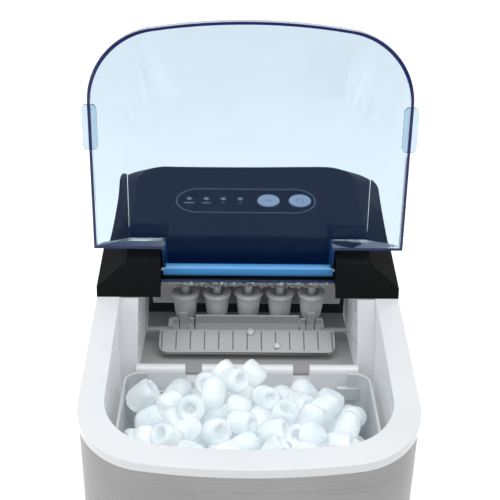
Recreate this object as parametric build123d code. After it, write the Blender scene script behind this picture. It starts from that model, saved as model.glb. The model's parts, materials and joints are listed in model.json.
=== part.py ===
from build123d import *

import math
import os

# Portable ice maker, millimetres. +Z is up, the front faces -Y, and the origin is at the
# centre of the footprint, on the surface that the machine stands on. The clear lid is open.

# Driving dimensions
BODY_HALF = 121.0
BODY_DEPTH = 358.0
FRONT_Y = -BODY_DEPTH / 2
BACK_Y = BODY_DEPTH / 2
DECK_SLOPE = 7.78
DECK_FRONT_Z = 251.5
FRONT_ARC = 474.0
FRONT_CORNER = 55.6
REAR_CORNER = 34.0
RIM_SIDE = 18.5
RIM_FRONT = 18.2
RIM_THICK = 7.0
RIM_LIP = 14.0
STEEL_INSET = 0.8
STEEL_THICK = 0.8
FOOT_HEIGHT = 8.0
PAN_TOP = 42.0
WALL = 2.5

# Tub under the rim: a deep reservoir at the front and a shelf under the freezing chamber
TUB_HALF = BODY_HALF - RIM_SIDE
TUB_CORNER = 45.0
TUB_FRONT_Y = FRONT_Y + RIM_FRONT
TUB_STEP_Y = -24.0
TUB_BACK_Y = 86.0
TUB_FLOOR_Z = 92.0
SHELF_Z = 205.5
RAIL_Z = 134.0

# Ice basket
BASKET_HALF = 97.5
BASKET_FRONT_Y = TUB_FRONT_Y + 5.0
BASKET_BACK_Y = -34.0
BASKET_CORNER = 40.0
BASKET_WALL = 2.0
BASKET_REAR_Z = 208.0
BASKET_SIDE_Z = 226.0

# Freezing chamber
CHEEK_IN = 88.0
CHEEK_OUT = 102.2
BAR_FRONT_Y = -31.0
BAR_BACK_Y = -21.0
BAR_TOP_Z = 227.5
PIVOT_Y = 48.0
PIVOT_Z = 257.5
TRAY_HALF = 82.0
TRAY_IN = 31.0
TRAY_OUT = 33.0
TRAY_LOW_DEG = -58.0
TRAY_HIGH_DEG = 75.0
PUSHER_HALF = 73.0
PUSHER_SPINE = 62.0
PUSHER_UPRIGHT = 43.0
PUSHER_IN = 34.0
PUSHER_THICK = 1.6
PUSHER_RIB_PITCH = 11.8
HANGER_IN = 83.6
HANGER_OUT = 86.0
PIN_R = 3.0
RUNNING = 0.06
FINGER_PITCH = 26.5
FINGER_X = 1.0
FINGER_R = 3.6
FINGER_TIP_Z = 237.5
EVAP_Z = 270.5
EVAP_R = 3.5
EVAP_FRONT_Y = 33.0
EVAP_REAR_Y = 59.0

# Control housing and lid, in heights above the deck plane
HOUSING_FRONT_Y = -1.4
HOUSING_SKIRT = 8.0
HOUSING_TOP = 27.2
HOUSING_LEAN = 6.4
CREASE_HALF = 97.5
BAY_HALF = 70.0
HINGE_Y = 17.5
HINGE_Z = 290.7
LID_OPEN_DEG = 103.47
LID_HALF = 122.0
LID_THICK = 2.2
LID_GAP = 0.8
LID_REAR_Y = -3.4
LID_LEAN = 3.0
TONGUE_HALF = 68.5
BARREL_R = 5.0
ROD_R = 1.5
CROWN_START = 150.0
STRAIGHT = 90000.0

# Control panel on the housing's top
PANEL_X = -1.5
PANEL_S = 280.3
PANEL_WIDTH = 121.0
PANEL_DEPTH = 38.0
BUTTON_R = 9.6
BUTTON_X = (18.1, 45.4)
LAMP_X = (-50.6, -35.9, -21.2, -6.5)

# Cold circuit in the rear bay
COMPRESSOR_X = -56.0
COMPRESSOR_Y = 56.0
COMPRESSOR_R = 50.0
FAN_X = 44.0
FAN_Z = 96.0
FAN_R = 46.0


def deck_z(y):
    """Height of the sloping deck plane at depth y."""
    return DECK_FRONT_Z + math.tan(math.radians(DECK_SLOPE)) * (y - FRONT_Y)


def on_deck(shape):
    """Move a shape drawn on the level deck frame onto the sloping deck."""
    return Pos(0, FRONT_Y, DECK_FRONT_Z) * Rot(DECK_SLOPE, 0, 0) * shape


def deck_slab(low, high):
    """A slab that covers the whole plan between two heights above the deck plane."""
    slab = Pos(0, 180, (low + high) / 2) * Box(700, 900, high - low)
    return on_deck(slab)


def plan(half, front, back, corner, rear_corner, arc=FRONT_ARC):
    """Plan outline: a gently bowed front, rounded corners and a straight back."""
    cx = half - corner
    cy = front + arc - math.sqrt((arc - corner) ** 2 - cx**2)
    turn = math.atan2(cx, front + arc - cy)
    start = (arc * math.sin(turn), front + arc - arc * math.cos(turn))
    bend = (turn + math.pi / 2) / 2
    knee = (cx + corner * math.sin(bend), cy - corner * math.cos(bend))
    rear = rear_corner * (1 - math.sqrt(0.5))
    edges = [
        ThreePointArc((-start[0], start[1]), (0, front), start),
        ThreePointArc(start, knee, (half, cy)),
        Line((half, cy), (half, back - rear_corner)),
        ThreePointArc((half, back - rear_corner), (half - rear, back - rear), (half - rear_corner, back)),
        Line((half - rear_corner, back), (-half + rear_corner, back)),
        ThreePointArc((-half + rear_corner, back), (-half + rear, back - rear), (-half, back - rear_corner)),
        Line((-half, back - rear_corner), (-half, cy)),
        ThreePointArc((-half, cy), (-knee[0], knee[1]), (-start[0], start[1])),
    ]
    return make_face(Curve() + edges)


def column(face, low, high):
    """A plan outline raised into a column between two levels."""
    return Pos(0, 0, low) * extrude(face, high - low)


def across(points, left, right):
    """A side-view outline of (y, z) points, extruded along X."""
    face = make_face(Polyline([(left, y, z) for y, z in points], close=True))
    return extrude(face, right - left, dir=(1, 0, 0))


def both_sides(points, inner, outer):
    """A side-view outline extruded on the left and on the right."""
    return [across(points, -outer, -inner), across(points, inner, outer)]


def rod_x(radius, x0, x1, y, z):
    """A round bar along X."""
    return Pos((x0 + x1) / 2, y, z) * Rot(0, 90, 0) * Cylinder(radius, x1 - x0)


def rod_y(radius, y0, y1, x, z):
    """A round bar along Y."""
    return Pos(x, (y0 + y1) / 2, z) * Rot(90, 0, 0) * Cylinder(radius, y1 - y0)


def block(x0, x1, y0, y1, z0, z1):
    """An axis-aligned box from its limits."""
    return Pos((x0 + x1) / 2, (y0 + y1) / 2, (z0 + z1) / 2) * Box(x1 - x0, y1 - y0, z1 - z0)


def tube(points, bend, radius):
    """A solid bent tube that follows straight runs joined by arcs."""
    path = FilletPolyline(points, radius=bend)
    profile = Plane(origin=path @ 0, z_dir=path % 0) * Circle(radius)
    return sweep(profile, path=path)


def lobe(radius, start_deg, end_deg):
    """A pie slice in side view, extruded by the caller, around the tray pivot."""
    mid = math.radians((start_deg + end_deg) / 2)
    a, b = math.radians(start_deg), math.radians(end_deg)
    points = [(0, PIVOT_Y + radius * math.cos(t), PIVOT_Z + radius * math.sin(t)) for t in (a, mid, b)]
    centre = (0, PIVOT_Y, PIVOT_Z)
    return make_face(Curve() + [Line(centre, points[0]), ThreePointArc(*points), Line(points[2], centre)])


def shell_plan(inset):
    """Plan outline of the steel wrap, moved inwards."""
    edge = STEEL_INSET + inset
    return plan(BODY_HALF - edge, FRONT_Y + edge, BACK_Y - edge, FRONT_CORNER - inset, REAR_CORNER - inset)


def at_pivot(radius, degrees):
    """Depth and height of a point around the tray's pivot, measured from straight ahead, downwards."""
    turn = math.radians(degrees)
    return PIVOT_Y - radius * math.cos(turn), PIVOT_Z - radius * math.sin(turn)


def make_base():
    """Base pan and its rubber feet."""
    outer = plan(BODY_HALF - 2.2, FRONT_Y + 2.2, BACK_Y - 2.2, FRONT_CORNER, REAR_CORNER)
    inner = plan(BODY_HALF - 5.2, FRONT_Y + 5.2, BACK_Y - 5.2, FRONT_CORNER - 3, REAR_CORNER - 3)
    pan = column(outer, FOOT_HEIGHT, PAN_TOP) - column(inner, FOOT_HEIGHT + 4, PAN_TOP + 1)
    pan += column(shell_plan(0), FOOT_HEIGHT, PAN_TOP - 22) - column(inner, FOOT_HEIGHT + 4, PAN_TOP)
    for x in (-92, -20):
        for y in (COMPRESSOR_Y - 40, COMPRESSOR_Y + 40):
            pan += Pos(x, y, FOOT_HEIGHT + 6) * Cylinder(8, 5)
    pan -= block(88, BODY_HALF, -104, -76, FOOT_HEIGHT + 4, PAN_TOP + 1)
    pan -= rod_x(13, 100, BODY_HALF + 1, -90, 26)
    parts["base_pan"] = pan
    feet = []
    for x in (-88, 88):
        for y in (-130, 140):
            feet.append(Pos(x, y, FOOT_HEIGHT / 2) * Cone(13, 15, FOOT_HEIGHT))
    parts["rubber_feet"] = feet


def make_shell():
    """Steel wrap with its side vents, the rear panel and the cord gland."""
    wrap = column(shell_plan(0), PAN_TOP - 22, 400) - column(shell_plan(STEEL_THICK), 0, 401)
    wrap &= deck_slab(-400, -RIM_THICK)
    wrap -= block(-86, 86, BACK_Y - 20, BACK_Y + 5, 0, 400)
    for side in (-1, 1):
        wrap -= Pos(side * BODY_HALF, 100, 118) * Box(12, 84, 104)
    wrap -= rod_x(13, 100, BODY_HALF + 1, -90, 26)
    parts["steel_wrap"] = wrap
    for name, side in (("left_vent_grille", -1), ("right_vent_grille", 1)):
        face_x = BODY_HALF - STEEL_INSET
        grille = Pos(side * (face_x - 1.2), 100, 118) * Box(2.4, 83.4, 103.4)
        grille += Pos(side * (face_x - STEEL_THICK - 0.85), 100, 118) * Box(1.5, 92, 112)
        for row in range(9):
            grille -= Pos(side * face_x, 100, 78 + 10 * row) * Box(20, 70, 4)
        parts[name] = grille
    panel = block(-85.5, 85.5, BACK_Y - 4, BACK_Y - 1.5, PAN_TOP + 0.5, 300)
    panel &= deck_slab(-400, -RIM_THICK - 0.3)
    for row in range(12):
        for x in (-40, 44):
            panel -= block(x - 34, x + 34, BACK_Y - 6, BACK_Y, 74 + 9 * row, 78 + 9 * row)
    panel -= rod_y(8.1, BACK_Y - 6, BACK_Y, -66, 56)
    parts["rear_panel"] = panel
    gland = rod_y(8, BACK_Y - 14, BACK_Y - 1.5, -66, 56) + rod_y(10.5, BACK_Y - 1.5, BACK_Y, -66, 56)
    gland -= rod_y(3.6, BACK_Y - 15, BACK_Y + 1, -66, 56)
    parts["cord_gland"] = gland
    screws = []
    for x in (-79, 0, 79):
        for z in (48, 270):
            screws.append(rod_y(3.2, BACK_Y - 1.5, BACK_Y - 0.2, x, z))
    parts["rear_panel_screws"] = screws


def make_rim():
    """White top rim, the tub below it and its insulation."""
    outer = plan(BODY_HALF, FRONT_Y, BACK_Y, FRONT_CORNER, REAR_CORNER)
    mouth = plan(TUB_HALF, TUB_FRONT_Y, TUB_BACK_Y, TUB_CORNER, 6)
    collar = plan(TUB_HALF + WALL, TUB_FRONT_Y - WALL, TUB_BACK_Y + WALL, TUB_CORNER + WALL, 8)
    rim = column(outer, 150, 400) & deck_slab(-RIM_THICK, 0)
    rim += column(collar, 150, 400) & deck_slab(-RIM_LIP, -RIM_THICK)
    rim -= column(mouth, 100, 450)
    rim -= block(-82, -38, 94, 120, 200, 400)
    rim -= block(60, 90, 94, 120, 200, 400)
    parts["top_rim"] = rim
    deep_in = plan(TUB_HALF, TUB_FRONT_Y, TUB_STEP_Y, TUB_CORNER, 6)
    deep_out = plan(TUB_HALF + WALL, TUB_FRONT_Y - WALL, TUB_STEP_Y + WALL, TUB_CORNER + WALL, 8)
    tub = column(deep_out, TUB_FLOOR_Z - WALL, 400) + column(collar, SHELF_Z - WALL, 400)
    tub &= deck_slab(-400, -RIM_LIP)
    tub -= column(deep_in, TUB_FLOOR_Z, 420)
    tub -= column(mouth, SHELF_Z, 420)
    for side in (-1, 1):
        tub += block(*sorted((side * 94, side * (TUB_HALF + 1))), -120, -50, RAIL_Z - 4, RAIL_Z - 0.3)
    tub -= rod_x(5, 90, 110, PIVOT_Y, PIVOT_Z)
    tub -= rod_y(4.1, 80, 92, -60, 268)
    tub -= Pos(70, -70, TUB_FLOOR_Z) * Cylinder(5.1, 12)
    tub -= Pos(90, -60, TUB_FLOOR_Z) * Cylinder(4.1, 12)
    parts["reservoir_tub"] = tub
    foam_out = plan(TUB_HALF + 13, TUB_FRONT_Y - 13, TUB_STEP_Y - 4, TUB_CORNER + 13, 8)
    foam_in = plan(TUB_HALF + WALL + 0.4, TUB_FRONT_Y - WALL - 0.4, TUB_STEP_Y + 30, TUB_CORNER + WALL, 8)
    foam = column(foam_out, 108, 400) - column(foam_in, 0, 420)
    parts["insulation_foam"] = foam & deck_slab(-400, -RIM_LIP - 4)


def make_chamber():
    """White cheeks with the front bar, the grey floor and the back wall."""
    top = -1.2
    cheek = [
        (-1.0, deck_z(-1) + top),
        (-22, 241.5),
        (-26, 209),
        (-26, SHELF_Z),
        (TUB_BACK_Y - 6.2, SHELF_Z),
        (TUB_BACK_Y - 6.2, deck_z(TUB_BACK_Y - 6.2) + top),
    ]
    frame = Part() + both_sides(cheek, CHEEK_IN, CHEEK_OUT)
    frame += block(-CHEEK_IN - 1, CHEEK_IN + 1, BAR_FRONT_Y, BAR_BACK_Y, SHELF_Z + 0.5, 214)
    for x0, x1 in ((-CHEEK_IN - 1, -50), (-36.5, 36.5), (50, CHEEK_IN + 1)):
        bar = block(x0, x1, BAR_FRONT_Y, BAR_BACK_Y, 212, BAR_TOP_Z - 4)
        bar += rod_x(4.9, x0, x1, (BAR_FRONT_Y + BAR_BACK_Y) / 2, BAR_TOP_Z - 4.9)
        frame += bar
    frame -= rod_x(PIN_R + RUNNING, -110, 110, PIVOT_Y, PIVOT_Z)
    frame -= rod_x(2.5, -CHEEK_IN - 8, CHEEK_IN + 8, -21, 222)
    frame += [rod_x(2.5, -60, -59, -26, 218), rod_x(2.5, 59, 60, -26, 218)]
    parts["ice_chamber"] = frame
    floor = [(BAR_BACK_Y + 0.3, 217), (79.5, 211.5), (79.5, 209), (BAR_BACK_Y + 0.3, 214.5)]
    plate = across(floor, -CHEEK_IN + 0.3, CHEEK_IN - 0.3)
    for i in range(9):
        plate -= block(-66 + 16.5 * i - 3, -66 + 16.5 * i + 3, 50, 72, 200, 230)
    parts["chamber_floor"] = plate
    back = block(-CHEEK_OUT + 6, CHEEK_OUT - 6, 82, 84.5, SHELF_Z + 0.3, deck_z(82) - 1.5)
    back -= rod_y(4.1, 80, 92, -60, 268)
    parts["chamber_back"] = back
    parts["ir_sensors"] = [rod_x(2.4, *ends, -21, 222) for ends in ((-95.8, -89), (89, 95.8))]


def make_evaporator():
    """Bent evaporator tube with its row of freezing fingers."""
    points = [
        (-52, 106, 200),
        (-52, 106, 297.5),
        (-52, 49, 297.5),
        (-52, 49, EVAP_Z),
        (-52, EVAP_REAR_Y + 1, EVAP_Z),
        (66, EVAP_REAR_Y + 1, EVAP_Z),
        (66, EVAP_FRONT_Y, EVAP_Z),
        (-68, EVAP_FRONT_Y, EVAP_Z),
        (-68, 49, EVAP_Z),
        (-68, 49, 297.5),
        (-68, 106, 297.5),
        (-68, 106, 200),
    ]
    parts["evaporator_tube"] = tube(points, 5, EVAP_R)
    fingers = []
    spots = [(FINGER_X + FINGER_PITCH * (i - 2), EVAP_FRONT_Y) for i in range(5)]
    spots += [(FINGER_X + FINGER_PITCH * (i - 1.5), EVAP_REAR_Y + 1) for i in range(4)]
    for x, y in spots:
        height = EVAP_Z - EVAP_R + 0.5 - FINGER_TIP_Z - FINGER_R
        finger = Pos(x, y, FINGER_TIP_Z + FINGER_R + height / 2) * Cylinder(FINGER_R, height)
        finger += Pos(x, y, FINGER_TIP_Z + FINGER_R) * Sphere(FINGER_R)
        fingers.append(finger)
    parts["evaporator_fingers"] = fingers


def make_tray():
    """Water tray tipped back behind the fingers, its pins, and the pusher in front."""
    sector = lobe(TRAY_OUT, TRAY_LOW_DEG, TRAY_HIGH_DEG)
    pie = Pos(-TRAY_HALF, 0, 0) * extrude(sector, 2 * TRAY_HALF, dir=(1, 0, 0))
    hollow = rod_x(TRAY_IN, -TRAY_HALF + 2, TRAY_HALF - 2, PIVOT_Y, PIVOT_Z)
    tray = pie - hollow
    for side in (-1, 1):
        x0, x1 = sorted((side * (TRAY_HALF - 2), side * TRAY_HALF))
        tray += rod_x(7, x0, x1, PIVOT_Y, PIVOT_Z)
    parts["water_tray"] = tray
    left = rod_x(PIN_R, -CHEEK_IN - 9, -TRAY_HALF, PIVOT_Y, PIVOT_Z)
    right = rod_x(PIN_R, TRAY_HALF, 107.5, PIVOT_Y, PIVOT_Z)
    parts["tray_pins"] = [left, right]
    motor = rod_x(16, 108, 118, PIVOT_Y, PIVOT_Z)
    motor += block(108, 110, PIVOT_Y - 22, PIVOT_Y + 22, PIVOT_Z - 6, PIVOT_Z + 6)
    parts["tray_motor"] = motor
    parts["ice_pusher"] = pusher_solid()


def pusher_solid():
    """Ribbed pusher that hangs from the tray's pins and sweeps the bullets off the tray."""
    lip_y, edge_y, edge_z = -3.0, 18.5, 233.6
    blade = [(lip_y, 222.2), (lip_y, 224.2), (16, 234), (edge_y, edge_z)]
    blade += [(24.5, 230.2), (23, 228.2), (17, 231.6)]
    depth = edge_y - lip_y
    wings = Pos(0, lip_y + depth / 2, 200) * RectangleRounded(2 * PUSHER_HALF, depth, 6)
    spine = block(-PUSHER_SPINE, PUSHER_SPINE, 10, 26, 200, 260)
    pusher = across(blade, -PUSHER_HALF, PUSHER_HALF) & (extrude(wings, 60) + spine)
    outside = PUSHER_IN + PUSHER_THICK
    foot = [(edge_y - 0.7, edge_z - 0.6), (16, 233.6)]
    crease = [at_pivot(outside, 29.5), at_pivot(PUSHER_IN, 29.5)]
    upright = foot + [crease[0], at_pivot(outside, 14), at_pivot(PUSHER_IN, 14), crease[1]]
    post = foot + [crease[0], at_pivot(outside, 20), at_pivot(PUSHER_IN, 20), crease[1]]
    arm = foot + [at_pivot(outside + 1, 29.5), at_pivot(outside + 1, 8), at_pivot(PUSHER_IN, 8), crease[1]]
    pusher += across(upright, -PUSHER_UPRIGHT, PUSHER_UPRIGHT)
    for inner, outer in ((44.5, 48.5), (57, PUSHER_SPINE)):
        pusher += both_sides(post, inner, outer)
    pusher += both_sides(arm, 49.5, 56)
    for i in range(-6, 7):
        x = PUSHER_RIB_PITCH * i
        groove = [(-1, 224.7), (-1, 228), (14.5, 236), (14.5, 232.8)]
        pusher -= across(groove, x - 0.5, x + 0.5)
        if abs(x) < PUSHER_UPRIGHT:
            pusher -= across([(14, 234.7), (16.5, 234.7), (17.3, 239.2), (15, 239.2)], x - 0.4, x + 0.4)
    bar_y, bar_z = 23.6, 229.0
    pusher += rod_x(2.4, -HANGER_OUT, HANGER_OUT, bar_y, bar_z)
    hanger = [
        (bar_y - 3, bar_z - 1),
        (PIVOT_Y - 4, PIVOT_Z),
        (PIVOT_Y + 4, PIVOT_Z),
        (bar_y + 3, bar_z - 1),
    ]
    for side in (-1, 1):
        x0, x1 = sorted((side * HANGER_IN, side * HANGER_OUT))
        pusher += across(hanger, x0, x1) + rod_x(6, x0, x1, PIVOT_Y, PIVOT_Z)
    return pusher - rod_x(PIN_R + RUNNING, -90, 90, PIVOT_Y, PIVOT_Z)


def make_basket():
    """Ice basket: a bowed tub with a stepped rear edge and drain slots."""
    outer = plan(BASKET_HALF, BASKET_FRONT_Y, BASKET_BACK_Y, BASKET_CORNER, 12)
    inner = plan(
        BASKET_HALF - BASKET_WALL,
        BASKET_FRONT_Y + BASKET_WALL,
        BASKET_BACK_Y - BASKET_WALL,
        BASKET_CORNER - BASKET_WALL,
        10,
    )
    basket = column(outer, RAIL_Z, BASKET_SIDE_Z) - column(inner, RAIL_Z + BASKET_WALL, 400)
    basket -= block(-80, 80, BASKET_BACK_Y - 20, BASKET_BACK_Y + 5, BASKET_REAR_Z, 400)
    for side in (-1, 1):
        x0, x1 = sorted((side * 72, side * 90))
        basket += block(x0, x1, BASKET_BACK_Y - 3.5, BASKET_BACK_Y, BASKET_REAR_Z - 6, BASKET_REAR_Z + 5)
    for i in range(-3, 4):
        basket -= Pos(i * 22, -92, RAIL_Z) * Box(5, 70, 8)
    parts["ice_basket"] = basket


def housing_solid(inset):
    """Control housing as a solid: an upright skirt under a bevelled crown, inset on every side."""
    low = plan(BODY_HALF - inset, CROWN_START, 361.3 - inset, 4, REAR_CORNER, STRAIGHT)
    high = plan(CREASE_HALF - inset * 0.6, CROWN_START, 336.5 - inset * 0.6, 4, 26, STRAIGHT)
    skirt = column(low, -2 * min(inset, 1), HOUSING_SKIRT)
    crown = loft([Pos(0, 0, HOUSING_SKIRT) * low, Pos(0, 0, HOUSING_TOP - inset) * high])
    body = on_deck(skirt + crown)
    cap = column(plan(BODY_HALF - inset, FRONT_Y, BACK_Y - inset, FRONT_CORNER, REAR_CORNER), 200, 400)
    foot = (HOUSING_FRONT_Y + inset, deck_z(HOUSING_FRONT_Y))
    lean = HOUSING_LEAN / HOUSING_TOP
    leaning = [
        (foot[0], 200),
        foot,
        (foot[0] + 60 * lean, foot[1] + 60),
        (250, foot[1] + 60),
        (250, 200),
    ]
    return body & cap & across(leaning, -200, 200)


def make_housing():
    """Black control housing with its hinge bay, and what sits in its top."""
    bay = [(-12, 284.5), (38, 284.5), (46.6, 320), (-12, 320)]
    walls = [(-1.4, 282), (40.6, 282), (49.9, 322), (-1.4, 322)]
    crown = housing_solid(0)
    shell = crown - housing_solid(WALL)
    shell += across(walls, -BAY_HALF - WALL, BAY_HALF + WALL) & crown
    shell -= across(bay, -BAY_HALF, BAY_HALF)
    shell -= block(-BAY_HALF, BAY_HALF, -10, 12, 200, 300)
    shell -= rod_x(ROD_R + 0.02, -BAY_HALF - 8, BAY_HALF + 8, HINGE_Y, HINGE_Z)
    panel_cut = Pos(PANEL_X, PANEL_S, HOUSING_TOP) * SlotOverall(PANEL_WIDTH + 0.6, PANEL_DEPTH + 0.6)
    shell -= on_deck(Pos(0, 0, -1.6) * extrude(panel_cut, 4))
    window = Pos(PANEL_X, PANEL_S, HOUSING_TOP - 6) * SlotOverall(PANEL_WIDTH - 4, PANEL_DEPTH - 6)
    shell -= on_deck(extrude(window, 8))
    parts["control_housing"] = shell
    outer = Pos(PANEL_X, PANEL_S, HOUSING_TOP - 1.5) * SlotOverall(PANEL_WIDTH, PANEL_DEPTH)
    inner = Pos(PANEL_X, PANEL_S, HOUSING_TOP - 1.5) * SlotOverall(PANEL_WIDTH - 1.8, PANEL_DEPTH - 1.8)
    parts["panel_trim_ring"] = on_deck(extrude(outer, 1.7) - extrude(inner, 1.7))
    face = Pos(PANEL_X, PANEL_S, HOUSING_TOP - 1.5) * SlotOverall(PANEL_WIDTH - 2.0, PANEL_DEPTH - 2.0)
    overlay = extrude(face, 1.4)
    lamps = []
    switches = []
    for x in LAMP_X:
        overlay -= Pos(x, PANEL_S + 3, HOUSING_TOP - 1) * Cylinder(1.7, 4)
        lamps.append(on_deck(Pos(x, PANEL_S + 3, HOUSING_TOP - 0.8) * Cylinder(1.65, 1.3)))
    for x in BUTTON_X:
        overlay -= Pos(x, PANEL_S, HOUSING_TOP - 1) * Cylinder(BUTTON_R + 0.35, 6)
        switches.append(on_deck(Pos(x, PANEL_S, HOUSING_TOP - 7.1) * Box(6, 6, 3.4)))
    parts["control_overlay"] = on_deck(overlay)
    parts["indicator_lamps"] = lamps
    parts["tact_switches"] = switches
    for name, x in (("select_button", BUTTON_X[0]), ("power_button", BUTTON_X[1])):
        button = Pos(x, PANEL_S, HOUSING_TOP - 1.2) * Cylinder(BUTTON_R, 3.6)
        button += Pos(x, PANEL_S, HOUSING_TOP - 3.4) * Cylinder(3, 1.2)
        parts[name] = on_deck(button)
    parts["control_board"] = on_deck(Pos(PANEL_X, PANEL_S, HOUSING_TOP - 9.6) * Box(118, 32, 1.6))
    board = on_deck(Pos(0, 325, 4) * Box(120, 40, 1.6))
    parts["main_board"] = board
    pieces = [Pos(-40, 322, 12.3) * Box(20, 16, 15), Pos(-10, 325, 11.8) * Cylinder(8, 14)]
    pieces += [Pos(22, 322, 9.8) * Box(26, 22, 10), Pos(50, 325, 8.8) * Box(10, 30, 8)]
    parts["board_components"] = [on_deck(piece) for piece in pieces]


def lid_solid(inset):
    """Closed lid as a solid on the level deck frame: side bevels cut by a bowed front bevel."""
    scale = math.cos(math.radians(DECK_SLOPE))
    rear = (LID_REAR_Y - FRONT_Y) / scale
    outline = plan(LID_HALF - inset, -1 + inset, 260, FRONT_CORNER, 4)
    base = column(outline, LID_GAP - 3 * min(inset, 1), 60)
    top = HOUSING_TOP - inset
    edge = LID_HALF - inset
    crease = CREASE_HALF - inset * 0.5
    roof = [
        (-edge, -5),
        (-edge, HOUSING_SKIRT),
        (-crease, top),
        (crease, top),
        (edge, HOUSING_SKIRT),
        (edge, -5),
    ]
    face = make_face(Polyline([(x, -20, z) for x, z in roof], close=True))
    sides = extrude(face, 400, dir=(0, 1, 0))
    low = plan(LID_HALF + 5 - inset, -1.5 + inset, 300, 60, 4)
    high = plan(102.5 - inset * 0.5, 57 + inset * 0.5, 300, 44, 4, 300)
    nose = column(low, -5, HOUSING_SKIRT)
    nose += loft([Pos(0, 0, HOUSING_SKIRT) * low, Pos(0, 0, top) * high])
    lid = base & sides & nose
    slant = [
        (-20, -6),
        (rear - inset - 1.5, -6),
        (rear - inset, LID_GAP),
        (rear - inset + LID_LEAN, HOUSING_TOP + 1),
        (-20, HOUSING_TOP + 1),
    ]
    return lid & across(slant, -200, 200)


def tongue_solid(inset, half):
    """Closed tongue between the panel and the hinge barrel, as a solid on the level deck frame."""
    hinge_s, hinge_h = 200.0, 12.2
    top = HOUSING_TOP - inset
    end = hinge_s - inset
    points = [(160, LID_GAP), (178, LID_GAP), (end - 4, hinge_h - 4), (end, hinge_h), (end, top), (160, top)]
    if inset:
        points = [(150, -5), (190, -5), (end, hinge_h - 8), (end, top), (150, top)]
    return across(points, -half, half)


def make_lid():
    """Clear lid, built closed and turned open, and the steel rod it hangs on."""
    lid = lid_solid(0) + tongue_solid(0, TONGUE_HALF)
    lid -= lid_solid(LID_THICK)
    lid -= tongue_solid(LID_THICK, TONGUE_HALF - LID_THICK)
    for side in (-1, 1):
        ear = Pos(side * (LID_HALF - 1), 79, LID_GAP + 1.4) * Box(11, 35, 2.8)
        lid += fillet(ear.edges().filter_by(Axis.Z), 3.5)
    lid = on_deck(lid)
    lid += rod_x(BARREL_R, -TONGUE_HALF, TONGUE_HALF, HINGE_Y, HINGE_Z)
    lid -= rod_x(ROD_R + RUNNING, -80, 80, HINGE_Y, HINGE_Z)
    turn = Pos(0, HINGE_Y, HINGE_Z) * Rot(-LID_OPEN_DEG, 0, 0) * Pos(0, -HINGE_Y, -HINGE_Z)
    parts["lid"] = turn * lid
    parts["lid_hinge_rod"] = rod_x(ROD_R, -BAY_HALF - 7, BAY_HALF + 7, HINGE_Y, HINGE_Z)


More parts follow.
